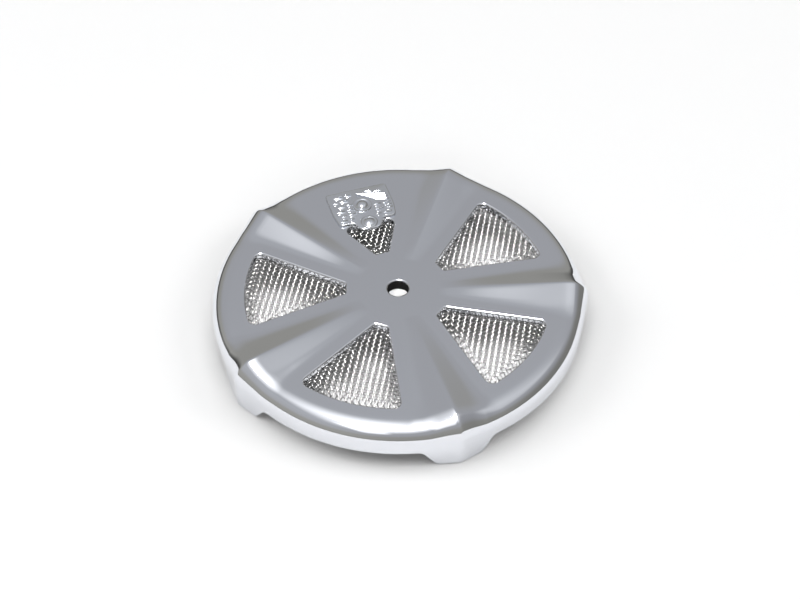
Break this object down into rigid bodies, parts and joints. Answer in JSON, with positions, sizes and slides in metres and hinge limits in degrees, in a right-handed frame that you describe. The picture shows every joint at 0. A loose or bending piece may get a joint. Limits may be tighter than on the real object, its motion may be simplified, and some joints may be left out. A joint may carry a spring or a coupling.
{
  "type": "air filter cover with intake mesh",
  "caption": "Round chrome air filter cover for a motorcycle: domed crown with five ridges and lugs, wedge windows backed by woven wire mesh, centre bolt hole.",
  "frame": {"origin": "on the centre bore's axis, in the plane of the crown's flat inner face", "axes": "+Z out of the cover along the centre bore, towards the visible face; +Y towards the short window with the badge; +X completes the right-handed set"},
  "size_m": [0.189, 0.1926, 0.0279],
  "materials": {
    "chrome_crown": "polished chrome plate on cast aluminium",
    "woven_wire": "bright drawn stainless wire",
    "black_clamp": "black e-coated steel stamping",
    "screw_steel": "zinc-plated steel",
    "washer_steel": "zinc-plated spring steel",
    "black_rubber": "moulded black rubber",
    "plain_washer": "stainless steel",
    "seal_rubber": "extruded black rubber",
    "pad_rubber": "moulded black rubber",
    "badge_metal": "satin and polished plate on zinc casting",
    "tape_foam": "black foam tape",
    "nut_steel": "phosphated spring steel"
  },
  "bodies": {
    "root": {"crown_shell": "chrome_crown", "mesh_screen": "woven_wire", "clamp_screws": "screw_steel", "lock_washers": "washer_steel", "centre_grommet": "black_rubber", "centre_washer": "plain_washer", "rim_seal": "seal_rubber", "badge_plate": "badge_metal", "badge_tape": "tape_foam", "badge_push_nuts": "nut_steel", "mesh_clamp_1": "black_clamp", "lug_pad_1": "pad_rubber", "mesh_clamp_2": "black_clamp", "lug_pad_2": "pad_rubber", "mesh_clamp_3": "black_clamp", "lug_pad_3": "pad_rubber", "mesh_clamp_4": "black_clamp", "lug_pad_4": "pad_rubber", "mesh_clamp_5": "black_clamp", "lug_pad_5": "pad_rubber"}
  },
  "joints": []
}
